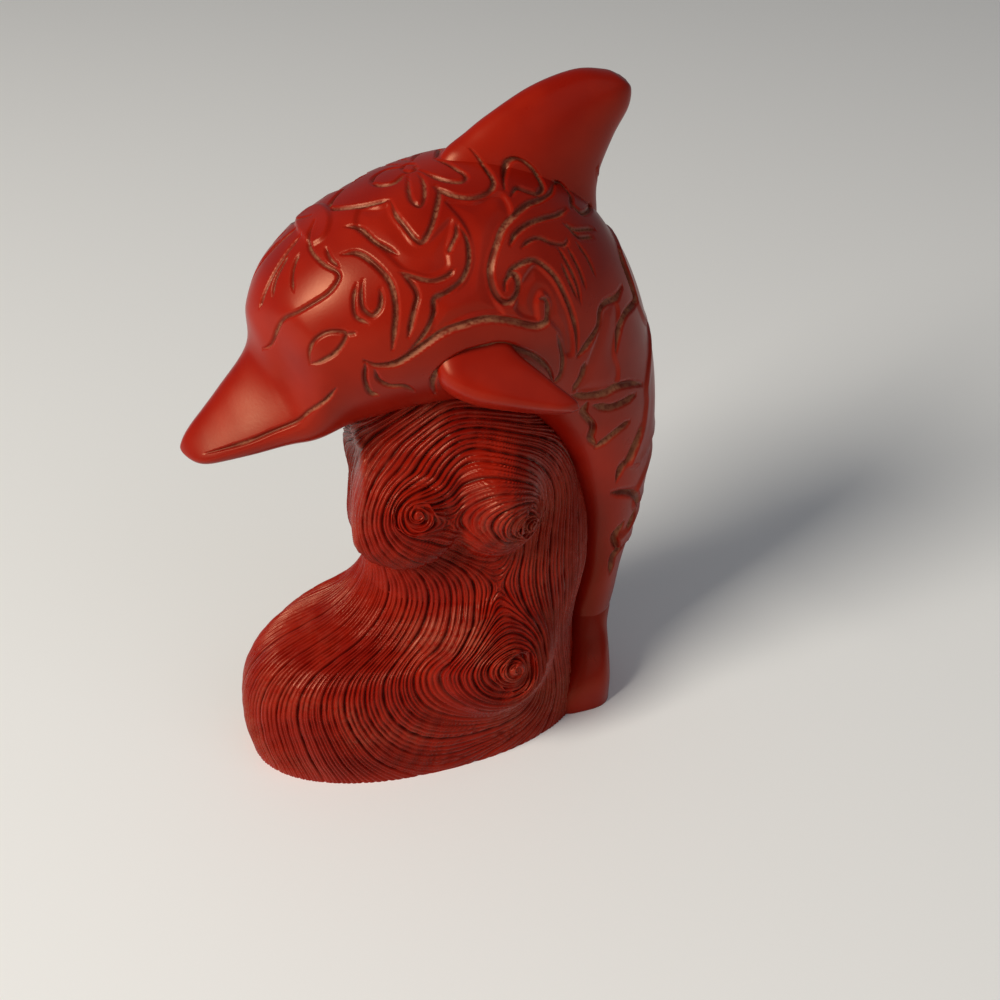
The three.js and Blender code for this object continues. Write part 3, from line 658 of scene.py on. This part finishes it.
# Wave: the base that carries the belly, a casting of the same resin whose whole surface was combed in
# the clay into strands. It swells out in front and climbs to the belly. Its grooves are painted dark as
# shade, and dust dulls it in patches.
wave_reach = 35.8
wave_back = 22
wave_depth = body_width + 0.8
wave_station, wave_overlap = 6.3, 6  # the belly over the wave, and how far the wave reaches up into it
wave_top = body_point(np.array(wave_station), np.array(np.pi))[2] + wave_overlap
wave_squareness = 2.2
wave_levels = np.array([  # height, reach, back and depth as shares of the wave's
    [0, 0.965, 0.97, 0.945],
    [0.09, 0.995, 0.94, 0.975],
    [0.205, 0.966, 0.9, 0.96],
    [0.288, 0.835, 0.92, 0.907],
    [0.356, 0.555, 0.96, 0.84],
    [0.432, 0.42, 1, 0.785],
    [0.515, 0.4, 1, 0.75],
    [0.59, 0.455, 0.97, 0.727],
    [0.69, 0.44, 0.9, 0.715],
    [0.788, 0.41, 0.77, 0.7],
    [0.879, 0.44, 0.58, 0.645],
    [1, 0.43, 0.38, 0.55],
])
last_level = len(wave_levels) - 1


def wave_point(level, turn):
    """Superellipse at a level, between the front of the swell and the edge behind. The turn runs from 0
    in front along the left face to 1 behind, and on along the right face to 2 in front again."""
    up, reach, back, depth = np.moveaxis(along_table(wave_levels, level), -1, 0)
    front, rear = -reach * wave_reach, back * wave_back
    angle = np.pi * (turn - 1)
    return np.stack([
        (front + rear) / 2 + (rear - front) / 2 * signed_power(np.cos(angle), 2 / wave_squareness),
        depth * wave_depth / 2 * signed_power(np.sin(angle), 2 / wave_squareness),
        up * wave_top,
    ], -1)


def wave_facing(level, turn):
    """Unit normal of the plain wave, from small steps along both parameters."""
    step = 0.01
    above, below = np.minimum(level + step, last_level), np.maximum(level - step, 0)
    along = wave_point(level, turn + step) - wave_point(level, turn - step)
    normal = np.cross(along, wave_point(above, turn) - wave_point(below, turn))
    return normal / np.maximum(np.linalg.norm(normal, axis=-1, keepdims=True), 1e-9)


def wave_half_depth(x, height):
    """Half the wave's thickness at a place on its face."""
    station = np.interp(height / wave_top, wave_levels[:, 0], np.arange(len(wave_levels)))
    _, reach, back, depth = along_table(wave_levels, np.array(station))
    front, rear = -reach * wave_reach, back * wave_back
    offset = abs((2 * x - front - rear) / (rear - front))
    return depth * wave_depth / 2 * max(1 - offset ** wave_squareness, 0) ** (1 / wave_squareness)


belly_stations, belly_steps = (5, 11), 200


def belly_height(x):
    """Height of the belly over a place along the figure."""
    station = np.linspace(*belly_stations, belly_steps)
    belly = body_point(station, np.full(station.shape, np.pi))
    return np.interp(x, belly[:, 0], belly[:, 2])


# Curls: radius, height over width, dome, stand-off from the wave's face, yaw and pitch in degrees, how
# softly the rim runs out below, the eye of the spiral in shares of the radius, the fold's bearing and reach
# about the eye, the fold's depth, strands that end in the eye, how fast they wind round it and how much
# faster they do so inside the curl
curl_kinds = {
    "crest": dict(radius=8.6, tall=1.02, dome=4.6, lift=2.7, yaw=22, pitch=4, soft=0.15, eye=(0.36, 0.28),
                  fold=(175, 0.45), sink=1, arms=8, winding=40, inside=20),
    "shoulder": dict(radius=7.9, tall=1.25, dome=6.6, lift=-1, yaw=0, pitch=4, soft=0.3, eye=(0.6, -0.4),
                     fold=(60, 0.3), sink=1.2, arms=8, winding=76, inside=0),
    "foot": dict(radius=8.6, tall=1, dome=2.6, lift=1.5, yaw=-6, pitch=10, soft=0.3, eye=(0.2, -0.08),
                 fold=(-10, 0.5), sink=1.2, arms=8, winding=60, inside=90),
}
crest_x = {"left": -11.4, "right": -5.5}
crest_drop = {"left": 4.4, "right": 1.7}
shoulder_drop = 2.5
curl_spacing = -2
foot_x = 2
foot_rise = 11
soft_slope, soft_start = 1.2, 0.9  # how a dome's rim grows softer from below to above
fold_pace, fold_radius = 4.5, 0.5  # how far the fold turns as it winds out, and where its bearing holds
fold_lip, fold_fade = 0.65, 0.4  # share of a turn over which the dome drops, and how the fold runs out
eye_size, rim_fade = 0.25, 2.5
foot_fall, overhang = 1.2, 3  # slope round the foot curls, and more slope below the upper ones
overhang_start, overhang_pace = 0.3, 1.6
fillet = 1.2  # rounding where a dome meets the wave, in millimetres
least_facing, facing_span = 0.3, 0.45  # how far the wave's face looks the curl's way where it is pushed
skirt_reach, skirt_fade = 1.6, 0.3  # in shares of the radius


def curl_place(kind, side):
    """Middle of a curl on the wave's face, and its axes: along, up and out."""
    size = curl_kinds[kind]
    if kind == "foot":
        x, z = foot_x, foot_rise + size["radius"]
    else:
        x, drop = crest_x[side], crest_drop[side]
        if kind == "shoulder":
            x += curl_kinds["crest"]["radius"] + curl_spacing + size["radius"]
            drop = shoulder_drop
        z = belly_height(x) - drop - size["radius"] * size["tall"]
    yaw, pitch = np.radians(size["yaw"]), np.radians(size["pitch"])
    toward = -1 if side == "left" else 1
    middle = np.array([x, toward * (wave_half_depth(x, z) + size["lift"]), z])
    out = np.array([-np.sin(yaw) * np.cos(pitch), toward * np.cos(yaw) * np.cos(pitch), np.sin(pitch)])
    along = np.array([np.cos(yaw), toward * np.sin(yaw), 0.0])
    along -= out * (along @ out)
    along /= np.linalg.norm(along)
    up = np.cross(along, out)
    return middle, along, up * np.sign(up[2]), out


curls = {(kind, side): curl_place(kind, side) for kind in curl_kinds for side in ("left", "right")}


def on_curl(size, place, points):
    """Places of points on a curl in shares of its radius, along and up, and their heights over its rim."""
    middle, along, up, out = place
    offset = points - middle
    flat = np.stack([offset @ along / size["radius"], offset @ up / (size["radius"] * size["tall"])], -1)
    return flat, offset @ out


def dome_height(size, flat):
    """Height of a curl over its rim at a place in shares of its radius: half an ellipsoid that runs out
    softly at the top. A fold winds in to the eye: at it the dome drops, and climbs again over one turn."""
    bulge = np.clip(1 - (flat * flat).sum(-1), 0, 1)
    soft = np.maximum(smooth(flat[..., 1] * soft_slope + soft_start), size["soft"])
    from_eye = flat - np.array(size["eye"])
    away = np.linalg.norm(from_eye, axis=-1)
    bearing, reach = size["fold"]
    bearing = np.arctan2(from_eye[..., 1], from_eye[..., 0]) - np.radians(bearing)
    wound = (bearing + fold_pace * np.log(np.maximum(away, 1e-3) / fold_radius)) / (2 * np.pi) % 1
    drop = wound * (1 - smooth((wound - fold_lip) / (1 - fold_lip)))
    drop = drop * np.minimum(away / eye_size, 1) * smooth(rim_fade * bulge)
    drop = drop * (1 - smooth((away - reach) / fold_fade))
    return size["dome"] * (soft * bulge + (1 - soft) * np.sqrt(bulge)) - size["sink"] * drop


def swollen(level, turn):
    """Plain wave pushed out into the domes of the curls. Round each dome it rises to the rim over a rounded
    foot, and below the two upper curls it falls away at once, so that they overhang."""
    points = wave_point(level, turn)
    normals = wave_facing(level, turn)
    for (kind, side), place in curls.items():
        size = curl_kinds[kind]
        flat, height = on_curl(size, place, points)
        away = np.linalg.norm(flat, axis=-1)
        fall = foot_fall
        if kind != "foot":
            below = smooth(-overhang_start - flat[..., 1] * overhang_pace)
            fall = 2 * size["dome"] / size["radius"] + overhang * below
        skirt = -fall * np.maximum(away - 1, 0) * size["radius"]
        target = np.where(away < 1, dome_height(size, flat), skirt)
        facing = smooth((normals @ place[3] - least_facing) / facing_span)
        facing = facing * smooth((skirt_reach - away) / skirt_fade)
        rise = target - height
        push = (rise + np.hypot(rise, fillet)) / 2 * facing
        points = points + push[..., None] * place[3]
    return points


# Flat map of the wave's surface: round it in shares of half its girth, and up it in the same measure
map_rows, map_columns = 221, 401
map_level, map_turn = np.meshgrid(np.linspace(0, last_level, map_rows), np.linspace(0, 1, map_columns),
                                  indexing="ij")
map_points = wave_point(map_level, map_turn)
map_run = np.cumsum(np.linalg.norm(np.diff(map_points, axis=1, prepend=map_points[:, :1]), axis=-1), axis=1)
map_girth = map_run[:, -1]
map_round = map_run / map_girth[:, None]
map_face = map_points[:, map_columns // 2]
map_up = np.cumsum(np.linalg.norm(np.diff(map_face, axis=0, prepend=map_face[:1]), axis=-1) / map_girth)
map_back = np.array([np.interp(map_turn[0], row, map_turn[0]) for row in map_round])


def looked_up(table, level, share):
    """Values of a table between its rows by level and between its columns by a share from 0 to 1."""
    row = np.clip(level / last_level * (len(table) - 1), 0, len(table) - 1.001)
    column = np.clip(share * (table.shape[1] - 1), 0, table.shape[1] - 1.001)
    r, c = row.astype(int), column.astype(int)
    lower = table[r, c] + (table[r, c + 1] - table[r, c]) * (column - c)
    upper = table[r + 1, c] + (table[r + 1, c + 1] - table[r + 1, c]) * (column - c)
    return lower + (upper - lower) * (row - r)


def on_map(level, turn):
    """Place on the flat map as a complex number, round the wave and up it."""
    share = looked_up(map_round, level, np.where(turn > 1, 2 - turn, turn))
    return np.where(turn > 1, 2 - share, share) + 1j * np.interp(level, map_level[:, 0], map_up)


def off_map(place):
    """Level and turn of a place on the flat map."""
    level = np.interp(place.imag, map_up, map_level[:, 0])
    share = place.real % 2
    turn = looked_up(map_back, level, np.where(share > 1, 2 - share, share))
    return level, np.where(share > 1, 2 - turn, turn)


def curl_on_map(kind, side):
    """Middle of a curl on the flat map, how its own axes lean and stretch there, and its eye and its
    radius in the leaning measure."""
    size = curl_kinds[kind]
    turn = map_turn if side == "left" else 2 - map_turn
    flat, _ = on_curl(size, curls[kind, side], wave_point(map_level, turn))
    at = np.unravel_index((flat * flat).sum(-1).argmin(), map_level.shape)
    middle = on_map(map_level[at], turn[at])
    step = 0.02
    places = middle + step * np.array([-1, 1, -1j, 1j])
    flat, _ = on_curl(size, curls[kind, side], wave_point(*off_map(places)))
    flat[..., 1] *= size["tall"]
    along, up = (flat[1] - flat[0]) / (2 * step), (flat[3] - flat[2]) / (2 * step)
    radius = abs(1 / along[0])
    eye = radius * (np.sign(along[0]) * size["eye"][0] + 1j * size["eye"][1] * size["tall"])
    return middle, up[0] / along[0], up[1] * radius, eye, radius


curl_places = {key: curl_on_map(*key) for key in curls}
fall_strands = -8  # coarse strands that run down the wave, on each half
swell_fall, swell_rise = 10, 0.5  # how they bend over the swell, and how far up
collar, collar_line = 175, 1.08  # strands that run round the wave under the belly, and where they start
sways = [(7, 9, 0.9), (5, -16, 0.8)]  # times round half the wave, pace upward and size
fall_line, foot_line, line_softness = 0.64, 0.5, 0.05
rim_start, rim_span = 0.75, 0.5  # where the rings of a curl pass into the flow round it


def ramp(value, start):
    """How far a value lies above a start, and 0 below it, with a soft corner."""
    return line_softness * np.logaddexp(0, (value - start) / line_softness)


def strand_phase(place):
    """Phase of the coarsest strands at a place on the flat map. Strands are the streamlines of a fall,
    plus one spiral sink at the eye of each curl, repeated once round the wave. Inside a curl the rings of
    its spiral slide from the rim to the eye. Below the upper curls and above the foot the pull stays as
    it is on a level line, so the strands between them hang straight."""
    phase = np.pi * fall_strands * place.real + collar * ramp(place.imag, collar_line)
    phase = phase - swell_fall * np.exp(-place.imag / swell_rise) * np.sin(np.pi * place.real)
    for times, pace, sway in sways:
        phase = phase + np.sin(np.pi * times * place.real + pace * place.imag) * sway
    above = fall_line + ramp(place.imag, fall_line)
    below = foot_line - ramp(foot_line, place.imag)
    for (kind, side), (middle, lean, stretch, eye, radius) in curl_places.items():
        size = curl_kinds[kind]
        rise = (below if kind == "foot" else above) - middle.imag
        here = place.real - middle.real + lean * rise + 1j * stretch * rise
        flat = ((here.real + 1) % 2 - 1 + 1j * here.imag) / radius
        slide = eye / radius
        slack = 1 - abs(slide) ** 2
        toward = ((flat - slide) * np.conj(slide)).real
        inner = (toward + np.sqrt(toward ** 2 + slack * np.abs(flat - slide) ** 2)) / slack
        outer = np.abs(np.sin(np.pi / 2 * here)) / (radius * np.pi / 2)
        ring = inner + (outer - inner) * smooth((np.abs(flat) - rim_start) / rim_span)
        ring = np.maximum(ring, 1e-4)
        wound = size["winding"] * np.log(ring) + size["inside"] * np.log(ring / np.hypot(ring, 1))
        arms = size["arms"]
        if side == "right":
            arms, wound = (arms, -wound) if kind == "foot" else (-arms, wound)
        phase = phase + arms * np.angle(np.sin(np.pi / 2 * (here - eye))) + wound
    return phase


strand_pitch = 0.5
groove_width, groove_share = 0.19, 0.6  # the sharp part of a groove; the rest is the strand's roundness
strand_depth = 0.95
coarsest, finest = -3, 6  # halvings of the pitch
growth = [(0.72, 0.6, 0.7), (0.16, 0, 1), (0.12, -1, 1)]  # depth that a groove gains as the room for it grows
bundle = np.array([1, 0.68, 0.85, 0.74])  # depths of the grooves that follow each other round an eye


def combed(level, place):
    """Depth of the comb's grooves from 0 to 1, with round strands between. Where coarse strands lie far
    apart finer ones run between them, each half as wide as the last, and the coarse grooves stay the
    deepest."""
    phase = strand_phase(place)
    step = 1e-4
    slope = 0
    for way in (step, 1j * step):
        change = strand_phase(place + way) - strand_phase(place - way)
        slope = slope + ((change + np.pi) % (2 * np.pi) - np.pi) ** 2
    girth = np.interp(level, map_level[:, 0], map_girth)
    wide = 2 * np.pi * girth * 2 * step / np.sqrt(np.maximum(slope, 1e-9))
    room = np.log2(wide / strand_pitch)
    low = np.zeros(place.shape)
    for fine in range(coarsest, finest):
        spare = room - fine
        depth = sum(gain * smooth((spare + early) / span) for gain, early, span in growth)
        turns = phase * 2.0 ** fine / (2 * np.pi)
        number = np.round(turns)
        share = 2 * np.abs(turns - number)
        groove = np.exp(-(share * wide / 2.0 ** (fine + 1) / groove_width) ** 2)
        depth = depth * bundle[(number * 2.0 ** max(0, -1 - fine)).astype(int) % len(bundle)]
        low = np.maximum(low, depth * (groove_share * groove + (1 - groove_share) * (1 - share) ** 2))
    return low


def uneven(points):
    """Slow change from place to place between 0.6 and 1, as the hand presses: three crossing ripples."""
    x, y, z = np.moveaxis(points, -1, 0)
    ripples = [0.9 * x + 1.7 * z + 2.1 * y, 2.3 * x - 1.1 * z + 0.7, 1.3 * z + 0.8 * y - 1.9 * x]
    return 0.8 + 0.2 * sum(np.sin(ripple) for ripple in ripples) / 3


combed_reds = (0.185, 0.0035, 0.001, 1), (0.25, 0.008, 0.002, 1)
dust_brown = (0.24, 0.085, 0.045, 1)
# painted shade in the bottoms of the combed grooves
groove_painted_shade = (0.05, 0.003, 0.002, 1)


def combed_resin():
    """Duller red resin: painted shade darkens the combed grooves, brownish dust lying in patches, small dark
    pits.
    """
    material, shader, tree = new_material("combed_resin", {
        "IOR": 1.45, "Specular IOR Level": 0.28, "Specular Tint": (1, 0.58, 0.36, 1)})
    place = tree.add("ShaderNodeTexCoord", output=3)
    low = tree.add("ShaderNodeAttribute", {"attribute_name": "groove"}, output=2)
    cloud = noise(tree, place, 140)
    red = cloud.between(0.3, 0.7).blend(*combed_reds)
    grains = noise(tree, place, 1800).between(0.35, 0.6)
    dusty = noise(tree, place, 75, 4).between(0.5, 0.72) * grains * 0.3
    faded = dusty.blend(red, dust_brown)
    deep = low.between(0.25, 0.85)
    pits = noise(tree, place, 2300, 2).between(0.68, 0.76)
    # painted shade in the grooves, and the small dark pits
    groove_shade_and_pits = (1 - (1 - deep) * (1 - pits * 0.7)) * 0.85
    link(shader, "Base Color", groove_shade_and_pits.blend(faded, groove_painted_shade))
    link(shader, "Roughness", noise(tree, place, 600).between(0.3, 0.7) * 0.15 + dusty * 0.3 + 0.22)
    grit = noise(tree, place, 2200)
    link(shader, "Normal", tree.add("ShaderNodeBump", None,
                                    {"Strength": 0.25, "Distance": 0.0001, "Height": grit}))
    return material


combed_red = combed_resin()
curl_share = 0.45  # part of a curl's radius that is a piece of its own
tuck, tuck_edge, tuck_fade = 0.18, 0.96, 0.05  # how the wave passes under that piece
table_share, table_rise = 0.35, 3  # how shallow the grooves are on the table, and where they are full
wave_columns, part_rows = 410, 188
swell_edge = 0.53


def under_curls(place):
    """How far the wave lies under the pieces of the curls: 0 outside them and 1 inside their edges."""
    under = np.zeros(place.shape)
    for middle, lean, stretch, eye, radius in curl_places.values():
        rise = place.imag - middle.imag
        along = (place.real - middle.real + lean * rise + 1) % 2 - 1
        ring = np.abs(along + 1j * stretch * rise - eye) / (radius * curl_share)
        under = np.maximum(under, smooth((tuck_edge - ring) / tuck_fade))
    return under


def wave_skin(up, share):
    """Combed surface of the wave over a grid of the flat map, its normals and the depth of its grooves."""
    place = share + 1j * up
    level, turn = off_map(place)
    base = swollen(level, turn)
    shallow = table_share + (1 - table_share) * smooth(base[..., 2] / table_rise)
    low = combed(level, place) * uneven(base) * shallow
    sunk = low * strand_depth + under_curls(place) * tuck
    skin = base - surface_normals(base) * sunk[..., None]
    return skin, surface_normals(skin), low


wave_parts = {  # on the flat map: lower and upper edge, first and last place round the left half
    "swell_front": (0, swell_edge, 0, 0.5),
    "swell_rear": (0, swell_edge, 0.5, 1),
    "neck": (swell_edge, map_up[-1], 0, 1),
}
for side in ("left", "right"):
    for part, (low_edge, high_edge, first, last) in wave_parts.items():
        if side == "right":
            first, last = 2 - last, 2 - first
        rows = low_edge + (high_edge - low_edge) * np.arange(-1, part_rows + 1) / (part_rows - 1)
        columns = first + (last - first) * np.arange(-1, wave_columns + 1) / (wave_columns - 1)
        up, share = np.meshgrid(np.clip(rows, 0, map_up[-1]), columns, indexing="ij")
        skin, normals, low = (field[1:-1, 1:-1] for field in wave_skin(up, share))
        if low_edge == 0:
            skin[0, :, 2] = 0
            # The wall that closes half a swell runs from the middle of the face straight in
            face = skin[:, -1:] if last % 1 else skin[:, :1]
            skin = np.concatenate([skin, face * to_middle], axis=1)
            normals = np.concatenate([normals, normals[:, -1:]], axis=1)
            low = np.concatenate([low, low[:, -1:]], axis=1)
        skin = np.concatenate([skin[:1] * to_middle, skin, skin[-1:] * to_middle])
        piece = put_skin(f"wave_{side}_{part}", skin, with_ends(normals), combed_red,
                         {"groove": with_ends(low)})
        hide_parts("wave_base")

# Curls: six domes on tapered plugs let into the two faces of the wave, of the same resin, combed into
# spirals that wind in to an eye.
curl_rings, curl_spokes = 90, 260
curl_proud, curl_dive, dive_start = 0.015, 0.2, 0.95  # over the wave, and how far under it at the edge
plug_depth = 2


def curl_surface(kind, side):
    """Inner turns of a curl on a polar grid about the eye, laid on the wave's swollen surface: at the edge
    it dives under it."""
    middle, lean, stretch, eye, radius = curl_places[kind, side]
    ring, spoke = np.meshgrid(np.linspace(0, curl_share, curl_rings),
                              np.linspace(0, 2 * np.pi, curl_spokes, endpoint=False), indexing="ij")
    here = eye + radius * np.maximum(ring, 1e-3) * np.exp(1j * spoke)
    rise = here.imag / stretch
    place = middle + here.real - lean * rise + 1j * rise
    level, turn = off_map(place)
    surface = swollen(level, turn)
    height = curl_proud - curl_dive * smooth((ring / curl_share - dive_start) / tuck_fade)
    low = combed(level, place) * uneven(surface)
    return surface + height[..., None] * curls[kind, side][3], low


for kind, side in curls:
    surface, low = curl_surface(kind, side)
    surface, low = surface[:, ::-1], low[:, ::-1]
    skin = surface - closed_normals(surface) * (low * strand_depth)[..., None]
    under = skin[-1:].mean(axis=1, keepdims=True) - plug_depth * curls[kind, side][3]
    skin = np.concatenate([skin, np.broadcast_to(under, skin[-1:].shape)])
    low = np.concatenate([low, low[-1:]])
    curl = put_skin(f"{side}_{kind}_curl_skin", skin, None, combed_red, {"groove": low})
    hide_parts(f"{side}_{kind}_curl")

# Dowels: turned hardwood pins inside the glued joints between belly, wave, tail stock and flukes.
# They keep their plain shape, with the grain running along them.


def dowel_wood():
    """Pale hardwood with fine grain stretched along the pin."""
    material, shader, tree = new_material("dowel_wood", {"IOR": 1.45})
    place = tree.add("ShaderNodeTexCoord", output=3)
    stretched = tree.add("ShaderNodeMapping", None, {"Vector": place, "Scale": (1, 1, 0.06)})
    grain = noise(tree, stretched, 1800)
    link(shader, "Base Color", grain.between(0.3, 0.7).blend((0.42, 0.25, 0.11, 1), (0.6, 0.41, 0.21, 1)))
    link(shader, "Roughness", grain * 0.2 + 0.6)
    return material


bare_wood = dowel_wood()
for name in ("front_belly_dowel", "rear_belly_dowel", "tail_dowel"):
    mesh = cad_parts[name].data
    mesh.materials.clear()
    mesh.materials.append(bare_wood)

# Stage: a plain pale table top under soft daylight from the upper left, and the camera in front of the
# dolphin's left side, a third of the way up to overhead.
camera_azimuth = np.radians(-20)
camera_elevation = np.radians(33)
camera_distance = 235 * mm
camera_target = Vector((8, 0, 38)) * mm
camera_back = Vector((
    np.sin(camera_azimuth) * np.cos(camera_elevation),
    -np.cos(camera_azimuth) * np.cos(camera_elevation),
    np.sin(camera_elevation),
))
camera_data = bpy.data.cameras.new("camera")
camera_data.sensor_width = 36
camera_data.lens = 54
camera_data.clip_start = 0.01
camera = bpy.data.objects.new("camera", camera_data)
camera.location = camera_target + camera_back * camera_distance
camera.rotation_euler = (-camera_back).to_track_quat("-Z", "Y").to_euler()
bpy.context.scene.collection.objects.link(camera)
bpy.context.scene.camera = camera

reach = 3  # half the table top's side, in metres
floor_mesh = bpy.data.meshes.new("table_top")
floor_mesh.from_pydata([(-reach, -reach, 0), (reach, -reach, 0), (reach, reach, 0), (-reach, reach, 0)],
                       [], [(0, 1, 2, 3)])
floor_mesh.materials.append(new_material("pale_top", {
    "Base Color": (0.86, 0.85, 0.81, 1), "Roughness": 0.6})[0])
table_top = bpy.data.objects.new("table_top", floor_mesh)
bpy.context.scene.collection.objects.link(table_top)

figure_middle = Vector((0, 0, 0.05))


def soft_light(name, place, size, watts, colour):
    """A square area light at a place in metres, aimed at the middle of the figure."""
    data = bpy.data.lights.new(name, "AREA")
    data.shape = "SQUARE"
    data.size = size
    data.energy = watts
    data.color = colour
    lamp = bpy.data.objects.new(name, data)
    lamp.location = place
    lamp.rotation_euler = (figure_middle - Vector(place)).to_track_quat("-Z", "Y").to_euler()
    bpy.context.scene.collection.objects.link(lamp)


soft_light("window", (-0.8, -0.3, 0.62), 0.4, 12.5, (1, 0.96, 0.9))
soft_light("sky", (0.35, -0.75, 0.55), 0.8, 1, (0.72, 0.8, 1))
world = bpy.data.worlds.new("room")
bpy.context.scene.world = world
world.use_nodes = True
world.node_tree.nodes["Background"].inputs["Color"].default_value = (0.9, 0.93, 1, 1)
world.node_tree.nodes["Background"].inputs["Strength"].default_value = 0.2
bpy.context.scene.view_settings.view_transform = "Standard"
